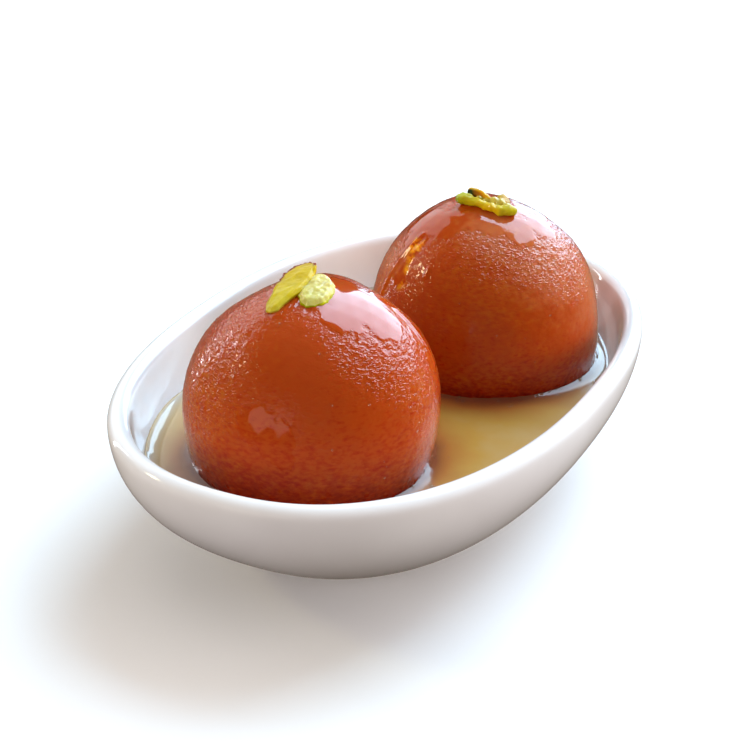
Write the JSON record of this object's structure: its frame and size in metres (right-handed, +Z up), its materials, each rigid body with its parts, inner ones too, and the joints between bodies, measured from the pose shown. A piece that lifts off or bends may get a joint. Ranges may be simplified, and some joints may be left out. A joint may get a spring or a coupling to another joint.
{
  "type": "gulab jamun",
  "caption": "Syrup-soaked milk dumplings with sliced pistachio on top, lying in sugar syrup in a small oval porcelain dish.",
  "frame": {"origin": "middle of the dish's foot, on the surface it stands on", "axes": "+X along the dish's length, towards the farther and slightly taller-topped dumpling; +Y across the dish; +Z up"},
  "size_m": [0.1238, 0.0812, 0.0504],
  "materials": {
    "porcelain": "glossy white glaze",
    "syrup": "clear golden sugar syrup",
    "crust": "fried milk dough, finely wrinkled and wet with syrup",
    "pistachio": "cut pistachio kernel, damp"
  },
  "bodies": {
    "root": {"dish": "porcelain", "syrup": "syrup", "gulab_jamun_front": "crust", "gulab_jamun_back": "crust", "pistachio_front_sliver": "pistachio", "pistachio_front_slice": "pistachio", "pistachio_back_strip": "pistachio", "pistachio_back_flap": "pistachio", "pistachio_back_chip": "pistachio"}
  },
  "joints": []
}
